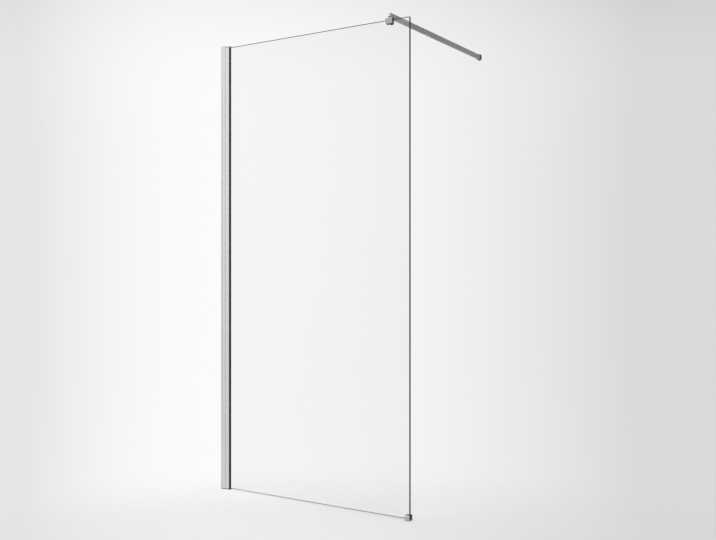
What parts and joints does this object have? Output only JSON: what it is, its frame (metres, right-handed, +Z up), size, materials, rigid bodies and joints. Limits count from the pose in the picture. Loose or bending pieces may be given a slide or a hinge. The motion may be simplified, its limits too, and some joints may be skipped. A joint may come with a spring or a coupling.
{
  "type": "walk-in shower screen",
  "caption": "Frameless clear glass walk-in shower screen held by a telescoping wall profile, a flat support bar clamped to its top edge and a small foot under its free corner.",
  "frame": {"origin": "bottom centre of the wall channel's back face: the wall plane, the glass's middle plane and the floor meet there", "axes": "+X along the glass from the wall to its free edge, +Y along the support bar to the second wall, +Z up"},
  "size_m": [0.9808, 0.8593, 2.0216],
  "materials": {
    "bright_aluminium": "bright anodised extrusion",
    "chrome": "polished chrome plating",
    "satin_bar": "satin, brushed along its length",
    "clear_glass": "clear toughened glass with polished edges",
    "black_seal": "matt black extruded rubber",
    "soft_liner": "soft black rubber",
    "cap_plastic": "silver grey moulded plastic",
    "stainless_screw": "plain stainless steel",
    "end_plug": "pale grey moulded plastic"
  },
  "bodies": {
    "wall_side": {"wall_channel": "bright_aluminium", "channel_cap": "cap_plastic", "channel_base_seal": "black_seal", "lock_screws": "stainless_screw", "lock_nut_plates": "stainless_screw", "lock_cup_washers": "cap_plastic", "lock_screw_caps": "cap_plastic"},
    "glass_unit": {"glass_profile": "bright_aluminium", "profile_cap": "cap_plastic", "profile_base_seal": "black_seal", "glass_panel": "clear_glass", "front_gasket": "black_seal", "rear_gasket": "black_seal", "edge_strip": "soft_liner", "setting_block": "soft_liner"},
    "support_arm": {"clamp_front_jaw": "chrome", "clamp_rear_jaw": "chrome", "clamp_liner": "soft_liner", "front_jaw_screw": "stainless_screw", "rear_jaw_screw": "stainless_screw", "bar_buffer": "soft_liner", "support_bar": "satin_bar", "bar_end_plug": "end_plug"},
    "bracket_unit": {"wall_bracket": "chrome", "bracket_seal": "black_seal", "bracket_lock_screw": "stainless_screw"},
    "floor_guide": {"foot_block": "chrome", "foot_liner": "soft_liner", "foot_lock_screws": "stainless_screw", "foot_pad": "black_seal"}
  },
  "joints": [
    {"name": "width_adjust", "type": "slide", "parent": "wall_side", "child": "glass_unit", "axis": [1, 0, 0], "range_m": [-0.003, 0.009]},
    {"name": "arm_slide", "type": "slide", "parent": "glass_unit", "child": "support_arm", "axis": [1, 0, 0], "range_m": [-0.82, 0.07]},
    {"name": "bracket_slide", "type": "slide", "parent": "support_arm", "child": "bracket_unit", "axis": [0, 1, 0], "range_m": [-0.0035, 0.007]},
    {"name": "foot_slide", "type": "slide", "parent": "glass_unit", "child": "floor_guide", "axis": [1, 0, 0], "range_m": [-0.9, 0]}
  ]
}
